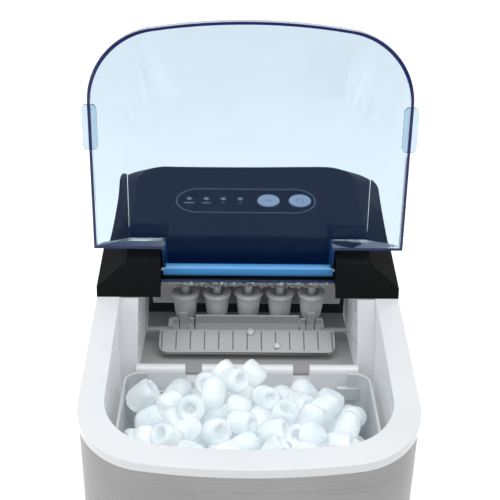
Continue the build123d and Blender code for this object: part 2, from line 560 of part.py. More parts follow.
def make_cold_circuit():
    """Compressor, condenser, fan and the tubes between them."""
    pot = Pos(COMPRESSOR_X, COMPRESSOR_Y, 78) * Cylinder(COMPRESSOR_R, 92)
    pot = fillet(pot.edges(), 18)
    pot += Pos(COMPRESSOR_X, COMPRESSOR_Y, 80) * Cylinder(COMPRESSOR_R + 1.5, 5)
    parts["compressor"] = pot
    cover_x = COMPRESSOR_X + 46
    cover = block(cover_x, cover_x + 16, COMPRESSOR_Y - 16, COMPRESSOR_Y + 16, 84, 112)
    parts["compressor_cover"] = cover - pot
    bracket = block(-100, -12, COMPRESSOR_Y - 48, COMPRESSOR_Y + 48, 26.5, 29.5)
    grommets = []
    bolts = []
    for x in (-92, -20):
        for y in (COMPRESSOR_Y - 40, COMPRESSOR_Y + 40):
            bracket -= Pos(x, y, 28) * Cylinder(5.5, 6)
            grommet = Pos(x, y, 23.5) * Cylinder(8, 6) + Pos(x, y, 30.75) * Cylinder(8, 2.5)
            grommet += Pos(x, y, 28) * Cylinder(5.5, 3)
            grommets.append(grommet - Pos(x, y, 26) * Cylinder(3, 20))
            bolts.append(Pos(x, y, 25) * Cylinder(3, 17) + Pos(x, y, 34.5) * Cylinder(5.5, 5))
    parts["compressor_bracket"] = bracket
    parts["rubber_grommets"] = grommets
    parts["compressor_bolts"] = bolts
    fins = []
    for i in range(23):
        fins.append(block(-18 + 5.6 * i, -17.4 + 5.6 * i, 148, 170, 44, 148))
    pipes = []
    rows = [56, 76, 96, 116, 136]
    for i, z in enumerate(rows):
        pipes.append(rod_x(3.5, -24, 110, 159, z))
    fins = Part() + fins
    for pipe in pipes:
        fins -= pipe
    parts["condenser_fins"] = fins.solids()
    coil = Part() + pipes
    for i in range(4):
        x = 110 if i % 2 == 0 else -24
        coil += block(x - 3.5, x + 3.5, 155.5, 162.5, rows[i] - 3.5, rows[i + 1] + 3.5)
    parts["condenser_tube"] = coil
    shroud = block(-20, 108, 134, 147.5, 42.5, 150) - block(-17, 105, 137, 150, 46, 147)
    shroud -= rod_y(FAN_R + 2.5, 130, 150, FAN_X, FAN_Z)
    ring = rod_y(FAN_R + 5, 120, 136, FAN_X, FAN_Z) - rod_y(FAN_R + 2.5, 110, 150, FAN_X, FAN_Z)
    parts["fan_shroud"] = shroud + ring
    hub = rod_y(14, 121, 133, FAN_X, FAN_Z)
    blades = hub
    for i in range(5):
        blade = Pos(FAN_X, 127, FAN_Z) * Rot(0, 72 * i, 0) * Pos(28, 0, 0) * Rot(32, 0, 0) * Box(34, 1.6, 22)
        blades += blade
    blades -= rod_y(2.0 + RUNNING, 100, 150, FAN_X, FAN_Z)
    parts["fan_blades"] = blades & rod_y(FAN_R, 110, 145, FAN_X, FAN_Z)
    motor = rod_y(19, 92, 117, FAN_X, FAN_Z) + rod_y(2.0, 116, 132.5, FAN_X, FAN_Z)
    motor += block(FAN_X - 60, FAN_X + 60, 110, 113, FAN_Z - 5, FAN_Z + 5)
    for x in (FAN_X - 58, FAN_X + 58):
        motor += block(x - 2, x + 2, 110, 137.5, FAN_Z - 5, FAN_Z + 5)
    parts["fan_motor"] = motor - (shroud + ring)
    suction = [(-68, 106, 199.8), (-68, 106, 165), (-68, 72, 165), (-68, 72, 124)]
    parts["suction_line"] = tube(suction, 9, EVAP_R)
    discharge = [(-44, 72, 124), (-44, 72, 165), (-44, 159, 165), (-24, 159, 165), (-24, 159, 139.6)]
    parts["discharge_line"] = tube(discharge, 7, 3)
    parts["filter_drier"] = Pos(-100, 150, 90) * Cylinder(9, 60)
    capillary = [(-100, 150, 120), (-100, 150, 180), (-52, 150, 180), (-52, 106, 180), (-52, 106, 199.8)]
    parts["capillary_tube"] = tube(capillary, 8, 1.4)
    liquid = [
        (-28, 159, 56),
        (-50, 159, 56),
        (-50, 159, 50),
        (-100, 159, 50),
        (-100, 150, 50),
        (-100, 150, 60),
    ]
    parts["liquid_line"] = tube(liquid, 2.9, 2.8)
    valve = Pos(-14, 76, 150) * Box(22, 22, 28) + Pos(-14, 76, 169) * Cylinder(6, 10)
    parts["hot_gas_valve"] = valve
    hot_gas = [(-25, 76, 150), (-38, 76, 150), (-38, 106, 150), (-38, 106, 190), (-50.6, 106, 190)]
    parts["hot_gas_line"] = tube(hot_gas, 5, 2)


def make_water():
    """Pump, hose, filler nozzle and drain."""
    pump = Pos(76, 20, 46) * Cylinder(20, 40) + Pos(76, 20, 68) * Cylinder(14, 8)
    pump -= Pos(76, 20, 34) * Cylinder(15, 10)
    pump += Pos(76, 20, 22) * Cylinder(24, 8) - Pos(76, 20, 30) * Cylinder(15, 10)
    pump += Pos(76, 20, 33) * Cylinder(1.5, 18)
    parts["water_pump"] = pump
    impeller = Pos(76, 20, 34) * Cylinder(5, 7)
    for i in range(6):
        impeller += Pos(76, 20, 34) * Rot(0, 0, 60 * i) * Pos(8.5, 0, 0) * Box(9, 1.6, 7)
    impeller -= Pos(76, 20, 34) * Cylinder(1.5 + RUNNING, 20)
    parts["pump_impeller"] = impeller
    suction = [(90, -60, 93.4), (90, -60, 66), (90, -20, 66), (90, -20, 46), (88, -1, 46)]
    parts["suction_hose"] = tube(suction, 9, 4)
    fill = [(76, 20, 72), (76, 20, 176), (76, 98, 176), (76, 98, 192)]
    fill += [(-60, 98, 192), (-60, 98, 268), (-60, 85.5, 268)]
    parts["fill_hose"] = tube(fill, 5.5, 4)
    parts["fill_nozzle"] = rod_y(4, 81.5, 85.4, -60, 268) - rod_y(2.6, 80, 86, -60, 268)
    drain = tube([(70, -70, 95), (70, -70, 62), (70, -90, 62), (70, -90, 26), (100, -90, 26)], 8, 5)
    spout = rod_x(8, 99, 113, -90, 26) - rod_x(4.5, 98, 114, -90, 26)
    parts["drain_tube"] = drain - rod_x(8.2, 98.9, 120, -90, 26)
    parts["drain_spout"] = spout
    cap = rod_x(11, 105, 119.5, -90, 26) - rod_x(8.3, 104, 115, -90, 26)
    for i in range(12):
        cap -= Pos(112, -90, 26) * Rot(30 * i, 0, 0) * Pos(0, 0, 11.3) * Box(20, 1.6, 1.6)
    parts["drain_cap"] = cap


parts = {}
make_base()
make_shell()
make_rim()
make_chamber()
make_evaporator()
make_tray()
make_basket()
make_housing()
make_lid()
make_cold_circuit()
make_water()

os.makedirs("parts", exist_ok=True)
for name, shape in parts.items():
    solid = Compound(children=shape) if isinstance(shape, list) else shape
    export_step(solid, f"parts/{name}.step")
    print(name, round(solid.volume))
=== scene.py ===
"""Looks of a portable ice maker with its clear lid open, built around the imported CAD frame."""

import logging
import math
import random
from collections.abc import Callable, Iterable
from dataclasses import dataclass, field
from enum import Enum

import bpy
from mathutils import Euler, Matrix, Vector
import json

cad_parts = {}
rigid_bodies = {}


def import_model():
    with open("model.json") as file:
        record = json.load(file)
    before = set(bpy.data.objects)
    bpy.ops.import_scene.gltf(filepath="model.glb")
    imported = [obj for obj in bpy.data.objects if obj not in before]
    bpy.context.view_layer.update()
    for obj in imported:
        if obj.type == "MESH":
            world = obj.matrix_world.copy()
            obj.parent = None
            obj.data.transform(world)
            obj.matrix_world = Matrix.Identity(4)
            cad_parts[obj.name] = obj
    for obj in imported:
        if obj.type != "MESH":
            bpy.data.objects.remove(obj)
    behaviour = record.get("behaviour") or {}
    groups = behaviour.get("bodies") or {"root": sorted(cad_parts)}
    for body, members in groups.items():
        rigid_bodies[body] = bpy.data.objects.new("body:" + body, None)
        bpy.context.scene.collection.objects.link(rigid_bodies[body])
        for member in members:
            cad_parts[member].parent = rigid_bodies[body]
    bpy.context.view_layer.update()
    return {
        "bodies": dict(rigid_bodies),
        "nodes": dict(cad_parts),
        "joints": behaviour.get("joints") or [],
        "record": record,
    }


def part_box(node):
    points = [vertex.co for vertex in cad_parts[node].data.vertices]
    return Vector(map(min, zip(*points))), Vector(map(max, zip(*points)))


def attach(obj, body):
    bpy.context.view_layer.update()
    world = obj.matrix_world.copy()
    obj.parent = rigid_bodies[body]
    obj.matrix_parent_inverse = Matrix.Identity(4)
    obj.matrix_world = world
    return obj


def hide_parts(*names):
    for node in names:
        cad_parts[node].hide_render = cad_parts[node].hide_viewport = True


LOG = logging.getLogger("ice_maker")
MM = 0.001

Colour = tuple[float, float, float]
FaceTest = Callable[[Vector, Vector], bool]


DECK_SLOPE = math.radians(7.78)
DECK_FRONT = 251.5 * MM


def deck_frame() -> Matrix:
    """Matrix that lays a shape drawn on the level deck onto the sloping deck.

    Returns:
        The matrix, from the level deck to the row frame.
    """
    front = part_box("top_rim")[0].y
    return Matrix.Translation((0.0, front, DECK_FRONT)) @ Matrix.Rotation(DECK_SLOPE, 4, "X")


# ---------------------------------------------------------------- shader arithmetic


class Value:
    """A shader socket that takes part in plain arithmetic by adding Math nodes."""

    def __init__(self, net: "Net", socket: bpy.types.NodeSocket) -> None:
        """Wrap one output socket.

        Args:
            net: The node tree that the socket belongs to.
            socket: The output socket.
        """
        self.net = net
        self.socket = socket

    def _math(self, operation: str, *terms: "Value | float") -> "Value":
        """Add a Math node.

        Args:
            operation: The Math node's operation.
            terms: Its inputs, in order.

        Returns:
            The node's result.
        """
        return self.net.node("ShaderNodeMath", {"operation": operation}, dict(enumerate(terms)))

    def __add__(self, other: "Value | float") -> "Value":
        """Sum."""
        return self._math("ADD", self, other)

    def __mul__(self, other: "Value | float") -> "Value":
        """Product."""
        return self._math("MULTIPLY", self, other)

    def step(self, low: float, high: float) -> "Value":
        """A smooth step.

        Args:
            low: Where it leaves 0.
            high: Where it reaches 1.

        Returns:
            The stepped value.
        """
        settings = {"interpolation_type": "SMOOTHSTEP"}
        return self.net.node("ShaderNodeMapRange", settings, {0: self, 1: low, 2: high}, "Result")


class Net:
    """One material's or world's node tree, filled through a few short methods."""

    def __init__(self, tree: bpy.types.NodeTree) -> None:
        """Clear the tree.

        Args:
            tree: The node tree to fill.
        """
        self.tree = tree
        self.tree.nodes.clear()

    def node(self, kind: str, settings: dict, inputs: dict, output: int | str = 0) -> Value:
        """Add any node.

        Args:
            kind: The node's type name.
            settings: Its properties.
            inputs: Values or links, by socket name or number.
            output: The output to return, by name or number.

        Returns:
            The chosen output.
        """
        made = self.tree.nodes.new(kind)
        for key, setting in settings.items():
            setattr(made, key, setting)
        for key, term in inputs.items():
            if isinstance(term, Value):
                self.tree.links.new(term.socket, made.inputs[key])
            else:
                socket = made.inputs[key]
                is_colour = socket.type == "RGBA" and len(term) == 3
                socket.default_value = (*term, 1.0) if is_colour else term
        return Value(self, made.outputs[output])

    def place(self, scale: Colour = (1.0, 1.0, 1.0)) -> Value:
        """Object coordinates, stretched by a Mapping node.

        Args:
            scale: The stretch along each axis.

        Returns:
            The coordinates.
        """
        source = self.node("ShaderNodeTexCoord", {}, {}, "Object")
        return self.node("ShaderNodeMapping", {}, {"Vector": source, "Scale": scale})

    def noise(self, vector: Value, scale: float, detail: float = 3.0, roughness: float = 0.5) -> Value:
        """Noise from 0 to 1.

        Args:
            vector: The coordinates.
            scale: Cells per metre.
            detail: Octaves.
            roughness: Weight of the finer octaves.

        Returns:
            The noise value.
        """
        inputs = {"Vector": vector, "Scale": scale, "Detail": detail, "Roughness": roughness}
        return self.node("ShaderNodeTexNoise", {}, inputs, 0)

    def blend(self, share: Value, first: "Value | Colour", second: "Value | Colour") -> Value:
        """A mix of two colours.

        Args:
            share: 0 for the first colour, 1 for the second.
            first: The first colour.
            second: The second colour.

        Returns:
            The mixed colour.
        """
        return self.node("ShaderNodeMix", {"data_type": "RGBA"}, {0: share, 6: first, 7: second}, 2)

    def bump(self, height: Value, strength: float, depth: float) -> Value:
        """A bumped normal.

        Args:
            height: The height, from 0 to 1.
            strength: How strongly it shows.
            depth: The real depth, in metres.

        Returns:
            The normal.
        """
        return self.node("ShaderNodeBump", {}, {"Height": height, "Strength": strength, "Distance": depth})

    def surface(self, inputs: dict) -> None:
        """Add the Principled shader and the output.

        Args:
            inputs: Values or links of the shader's sockets.
        """
        shader = self.node("ShaderNodeBsdfPrincipled", {}, inputs)
        self.node_output("ShaderNodeOutputMaterial", shader)

    def node_output(self, kind: str, shader: Value) -> None:
        """Add an output node.

        Args:
            kind: The output's type name.
            shader: What it shows.
        """
        made = self.tree.nodes.new(kind)
        self.tree.links.new(shader.socket, made.inputs["Surface"])


# ---------------------------------------------------------------- finishes


@dataclass(frozen=True)
class Finish:
    """What every finish has: a name, a base colour and a roughness."""

    name: str
    colour: Colour
    rough: float

    def make(self) -> bpy.types.Material:
        """Build the material.

        Returns:
            The new material.
        """
        material = bpy.data.materials.new(self.name)
        material.use_nodes = True
        self.dress(Net(material.node_tree))
        return material

    def dress(self, net: Net) -> None:
        """Fill the material's nodes.

        Args:
            net: The empty node tree.
        """
        raise NotImplementedError


@dataclass(frozen=True)
class MouldedPlastic(Finish):
    """Injection-moulded plastic with a fine spark-eroded grain and faint flow marks."""

    grain: float = 0.25
    grain_size: float = 0.7 * MM
    tone: float = 0.05
    coat: float = 0.0
    shine: float = 0.5
    glow: float = 0.0
    light: Colour = (0.0, 0.0, 0.0)

    def dress(self, net: Net) -> None:
        """Colour drifts with the melt flow, roughness with handling, the grain is a bump, and the light
        colour is a constant glow: painted light on the mouldings.
        """
        coords = net.place()
        flow = net.noise(coords, 9.0, 2.0)
        handled = net.noise(coords, 45.0, 4.0, 0.6).step(0.35, 0.75)
        grain = net.noise(coords, 1.0 / self.grain_size, 2.0)
        darker = tuple(level * (1 - 2 * self.tone) for level in self.colour)
        sockets = {
            "Base Color": net.blend(flow.step(0.3, 0.8), self.colour, darker),
            "Roughness": handled * 0.07 + self.rough,
            "Normal": net.bump(grain, self.grain, 0.05 * MM),
            "Coat Weight": self.coat,
            "Coat Roughness": 0.08,
            "Specular IOR Level": self.shine,
            # The light colour glows at constant strength: painted light that brightens the moulding beyond
            # what the lamps give.
            "Emission Color": (*self.light, 1.0),
            "Emission Strength": 1.0,
        }
        if self.glow:
            sockets |= {"Subsurface Weight": self.glow, "Subsurface Scale": 2 * MM}
            sockets["Subsurface Radius"] = (1.0, 1.0, 1.0)
        net.surface(sockets)


@dataclass(frozen=True)
class ClearPlastic(Finish):
    """Tinted see-through plastic, with faint haze where hands have been."""

    glow: Colour = (0.0, 0.0, 0.0)
    tint: Colour = (1.0, 1.0, 1.0)
    density: float = 0.0

    def dress(self, net: Net) -> None:
        """Transmission tinted at the surface and absorbed inside."""
        coords = net.place()
        haze = net.noise(coords, 30.0, 4.0, 0.6).step(0.45, 0.8)
        paler = tuple(min(1.0, level * 1.02) for level in self.colour)
        inputs = {
            "Base Color": net.blend(haze, self.colour, paler),
            "Roughness": haze * 0.02 + self.rough,
            "IOR": 1.46,
            "Specular Tint": (0.2, 0.25, 0.35, 1.0),
            "Transmission Weight": 1.0,
            # The glow colour is emitted at constant strength: a painted glow, light that the plastic gives
            # off though it is no lamp.
            "Emission Color": (*self.glow, 1.0),
            "Emission Strength": 1.0,
        }
        shader = net.node("ShaderNodeBsdfPrincipled", {}, inputs)
        out = net.tree.nodes.new("ShaderNodeOutputMaterial")
        net.tree.links.new(shader.socket, out.inputs["Surface"])
        if self.density:
            inside = {"Color": self.tint, "Density": self.density}
            absorbed = net.node("ShaderNodeVolumeAbsorption", {}, inside)
            net.tree.links.new(absorbed.socket, out.inputs["Volume"])


@dataclass(frozen=True)
class BrushedMetal(Finish):
    """Metal with long strokes along one direction."""

    stroke: Colour = (5.0, 5.0, 2600.0)
    contrast: float = 0.25
    relief: float = 0.25

    def dress(self, net: Net) -> None:
        """Fine strokes vary the tone, the roughness and the normal."""
        coords = net.place(self.stroke)
        fine = net.noise(coords, 1.0, 3.0, 0.7)
        broad = net.noise(net.place(tuple(value * 0.22 for value in self.stroke)), 1.0, 2.0)
        cloud = net.noise(net.place(), 14.0, 3.0)
        lines = fine * 0.6 + broad * 0.4
        darker = tuple(level * (1 - self.contrast) for level in self.colour)
        tone = (lines * 0.8 + cloud * 0.2).step(0.3, 0.7)
        net.surface(
            {
                "Base Color": net.blend(tone, darker, self.colour),
                "Roughness": lines * 0.22 + self.rough,
                "Metallic": 1.0,
                "Normal": net.bump(lines, self.relief, 0.04 * MM),
            }
        )


@dataclass(frozen=True)
class CastMetal(Finish):
    """Drawn, plated or painted metal with a slightly uneven surface."""

    metallic: float = 1.0
    wear: Colour = (0.3, 0.3, 0.3)
    cell: float = 4 * MM

    def dress(self, net: Net) -> None:
        """Tarnish in patches, with an orange-peel bump."""
        coords = net.place()
        patch = net.noise(coords, 40.0, 4.0, 0.6).step(0.45, 0.75)
        peel = net.noise(coords, 1.0 / self.cell, 2.0)
        net.surface(
            {
                "Base Color": net.blend(patch * 0.6, self.colour, self.wear),
                "Roughness": patch * 0.18 + self.rough,
                "Metallic": self.metallic,
                "Normal": net.bump(peel, 0.15, 0.1 * MM),
            }
        )


@dataclass(frozen=True)
class SoftPolymer(Finish):
    """Rubber or foam: matt, speckled and cellular."""

    cell: float = 1.0 * MM
    depth: float = 0.2 * MM

    def dress(self, net: Net) -> None:
        """Cells from a Voronoi pattern give both tone and bump."""
        coords = net.place()
        sockets = {"Vector": coords, "Scale": 1.0 / self.cell}
        cells = net.node("ShaderNodeTexVoronoi", {"feature": "F1"}, sockets, "Distance")
        dust = net.noise(coords, 60.0, 3.0).step(0.4, 0.8)
        paler = tuple(level * 1.25 + 0.01 for level in self.colour)
        net.surface(
            {
                "Base Color": net.blend(dust, self.colour, paler),
                "Roughness": dust * 0.1 + self.rough,
                "Normal": net.bump(cells, 0.3, self.depth),
                "Specular IOR Level": 0.25,
            }
        )


@dataclass(frozen=True)
class CircuitBoard(Finish):
    """Green solder mask over copper tracks."""

    track: Colour = (0.02, 0.22, 0.06)

    def dress(self, net: Net) -> None:
        """Tracks are the edges of square cells."""
        coords = net.place((1.0, 1.0, 0.2))
        settings = {"distance": "CHEBYCHEV", "feature": "F1"}
        cells = net.node("ShaderNodeTexVoronoi", settings, {"Vector": coords, "Scale": 240.0}, "Distance")
        tracks = cells.step(0.42, 0.5)
        net.surface(
            {
                "Base Color": net.blend(tracks, self.colour, self.track),
                "Roughness": tracks * 0.15 + self.rough,
                "Normal": net.bump(tracks, 0.3, 0.05 * MM),
            }
        )


@dataclass(frozen=True)
class Ice(Finish):
    """Cloudy ice, wet outside, with trapped air that whitens it."""

    cloud: Colour = (0.95, 0.97, 0.98)
    clear: float = 0.3
    glow: float = 0.6
    cell: float = 9 * MM
    light: Colour = (0.0, 0.0, 0.0)

    def dress(self, net: Net) -> None:
        """Clouds and clearer patches, with a melted, rippled surface."""
        coords = net.place()
        clouds = net.noise(coords, 1.0 / self.cell, 1.5, 0.4).step(0.25, 0.75)
        ripple = net.noise(coords, 2.2 / self.cell, 3.0)
        net.surface(
            {
                "Base Color": net.blend(clouds, self.colour, self.cloud),
                "Roughness": clouds * 0.15 + self.rough,
                "Normal": net.bump(ripple, 0.3, 0.3 * MM),
                "IOR": 1.31,
                "Transmission Weight": self.clear,
                "Subsurface Weight": self.glow,
                "Subsurface Radius": (0.7, 0.9, 1.0),
                "Subsurface Scale": 5 * MM,
                # The light colour glows at constant strength: a painted glow that lightens the ice's
                # shadows.
                "Emission Color": (*self.light, 1.0),
                "Emission Strength": 1.0,
            }
        )


@dataclass(frozen=True)
class Lamp(Finish):
    """A small indicator lens, unlit, with a pale ring."""

    def dress(self, net: Net) -> None:
        """A frosted lens with a fine mottle."""
        mottle = net.noise(net.place(), 900.0, 2.0)
        dimmer = tuple(level * 0.7 for level in self.colour)
        net.surface(
            {
                "Base Color": net.blend(mottle, dimmer, self.colour),
                "Roughness": mottle * 0.1 + self.rough,
                "Normal": net.bump(mottle, 0.1, 0.03 * MM),
            }
        )


class Gloss(Enum):
    """How shiny a moulding is."""

    HIGH = 0.16
    SATIN = 0.34
    MATT = 0.5


# The white plastic's light colour is a painted glow that brightens it beyond what the lamps give.
WHITE = MouldedPlastic(
    "white gloss plastic", (0.44, 0.45, 0.465), Gloss.HIGH.value, 0.1, light=(0.17, 0.175, 0.18)
)
# The lid's faint blue glow is painted light.
LID_BLUE = ClearPlastic("clear blue lid", (0.60, 0.72, 0.79), 0.012, (0.0, 0.002, 0.012))
# Opaque deep blue on the lid's free edges: painted shade, standing in for how dark the clear plastic's
# edges look.
LID_EDGE_SHADE = MouldedPlastic("painted lid edge shade", (0.0015, 0.008, 0.085), 0.12, 0.05)
# Opaque bright blue on the clear lid's hinge barrel: a painted highlight.
BARREL_HIGHLIGHT = MouldedPlastic("painted barrel highlight", (0.03, 0.20, 0.46), 0.1, 0.05)
# Deep blue with a faint glow, painted onto the black housing under the hinge where the blue lid's light
# shows: painted light.
PAINTED_HINGE_LIGHT = MouldedPlastic(
    "painted blue light under hinge", (0.0, 0.015, 0.06), 0.25, 0.05, light=(0.0, 0.006, 0.022)
)
GROOVE = MouldedPlastic("groove shade", (0.10, 0.10, 0.105), Gloss.MATT.value, 0.1)
FINGER_ICE = Ice("frosted finger ice", (0.60, 0.61, 0.62), 0.3, (0.74, 0.75, 0.76), 0.25, 0.5, 12 * MM)
# The cubes' light colour is a painted glow that lightens their shadows.
HEAP_ICE = Ice(
    "cloudy ice cubes",
    (0.70, 0.76, 0.79),
    0.12,
    cloud=(0.90, 0.925, 0.935),
    clear=0.60,
    glow=0.3,
    cell=20 * MM,
    light=(0.10, 0.108, 0.112),
)
FROST = Ice("frost beads", (0.6, 0.62, 0.63), 0.12, (0.85, 0.86, 0.87), 0.4, 0.4, 3 * MM)
MARK_PALE = Lamp("pale panel print", (0.30, 0.36, 0.45), 0.35)
MARK_DARK = Lamp("dark button print", (0.05, 0.08, 0.14), 0.35)
FLOOR = MouldedPlastic("studio floor", (0.9, 0.9, 0.9), 0.6, 0.02, 4 * MM, 0.01, light=(0.2, 0.2, 0.2))

FINISHES: dict[str, Finish] = {
    "white_plastic": WHITE,
    # The grey plastic's light colour is a faint painted glow.
    "grey_plastic": MouldedPlastic(
        "grey chamber plastic", (0.28, 0.285, 0.29), Gloss.SATIN.value, 0.3, light=(0.02, 0.02, 0.021)
    ),
    "basket_plastic": MouldedPlastic("basket plastic", (0.52, 0.54, 0.56), Gloss.SATIN.value, 0.25),
    "black_plastic": MouldedPlastic(
        "black gloss plastic", (0.009, 0.0095, 0.0098), 0.35, 0.04, 1.6 * MM, shine=0.006
    ),
    "panel_black": MouldedPlastic("panel film", (0.002, 0.003, 0.005), 0.25, 0.05, 0.3 * MM, shine=0.02),
    "trim_silver": CastMetal("panel trim", (0.10, 0.13, 0.17), 0.4, 0.6, (0.07, 0.09, 0.12), 1 * MM),
    "lamp": Lamp("indicator lens", (0.26, 0.29, 0.33), 0.3),
    "button_grey": MouldedPlastic("button caps", (0.27, 0.35, 0.47), 0.4, 0.35, 0.4 * MM),
    "clear_blue": LID_BLUE,
    "steel": BrushedMetal("brushed steel", (0.29, 0.29, 0.29), 0.26),
    "painted_steel": CastMetal(
        "painted rear steel", (0.32, 0.32, 0.33), 0.45, 0.0, (0.26, 0.26, 0.27), 1 * MM
    ),
    "plated": CastMetal("nickel plate", (0.66, 0.65, 0.62), 0.25, 1.0, (0.42, 0.4, 0.37)),
    "base_plastic": MouldedPlastic("grey base plastic", (0.10, 0.10, 0.105), 0.45, 0.5, 0.9 * MM),
    "rubber": SoftPolymer("black rubber", (0.015, 0.015, 0.015), 0.75, 0.6 * MM, 0.05 * MM),
    "foam": SoftPolymer("insulation foam", (0.82, 0.82, 0.78), 0.85, 2.5 * MM, 0.5 * MM),
    "component": MouldedPlastic("dark component plastic", (0.04, 0.042, 0.045), 0.4, 0.3),
    "copper": CastMetal("copper tube", (0.80, 0.36, 0.20), 0.25, 1.0, (0.38, 0.17, 0.10)),
    "aluminium": BrushedMetal("fin aluminium", (0.75, 0.76, 0.77), 0.3, (400.0, 400.0, 40.0)),
    "compressor_paint": CastMetal(
        "compressor enamel", (0.012, 0.012, 0.013), 0.3, 0.0, (0.03, 0.03, 0.032)
    ),
    "circuit": CircuitBoard("circuit board", (0.01, 0.10, 0.03), 0.35),
    "hose": MouldedPlastic("silicone hose", (0.62, 0.64, 0.66), 0.4, 0.1, glow=0.3),
}


NODE_FINISHES: dict[str, Finish] = {
    # The tray is painted paler than the chamber's grey plastic and given a faint glow: painted light on its
    # lit face.
    "water_tray": MouldedPlastic(
        "tray plastic with painted light", (0.52, 0.525, 0.53), Gloss.SATIN.value, 0.3, light=(0.07, 0.07, 0.072)
    ),
    "evaporator_fingers": CastMetal(
        "frosted fingers", (0.55, 0.56, 0.57), 0.45, 0.4, (0.75, 0.76, 0.77), 2 * MM
    ),
    "chamber_back": MouldedPlastic("shaded back wall", (0.02, 0.02, 0.021), Gloss.MATT.value, 0.3),
    "evaporator_tube": CastMetal("frosted tube", (0.55, 0.56, 0.57), 0.5, 0.3, (0.75, 0.76, 0.77), 2 * MM),
}


class FinishBook:
    """Makes each finish once and hands it out."""

    def __init__(self) -> None:
        """Start with no materials made."""
        self.made: dict[str, bpy.types.Material] = {}

    def get(self, finish: Finish) -> bpy.types.Material:
        """The material of a finish.

        Args:
            finish: The finish.

        Returns:
            Its material, made on first use.
        """
        if finish.name not in self.made:
            self.made[finish.name] = finish.make()
        return self.made[finish.name]


# ---------------------------------------------------------------- modelling bench


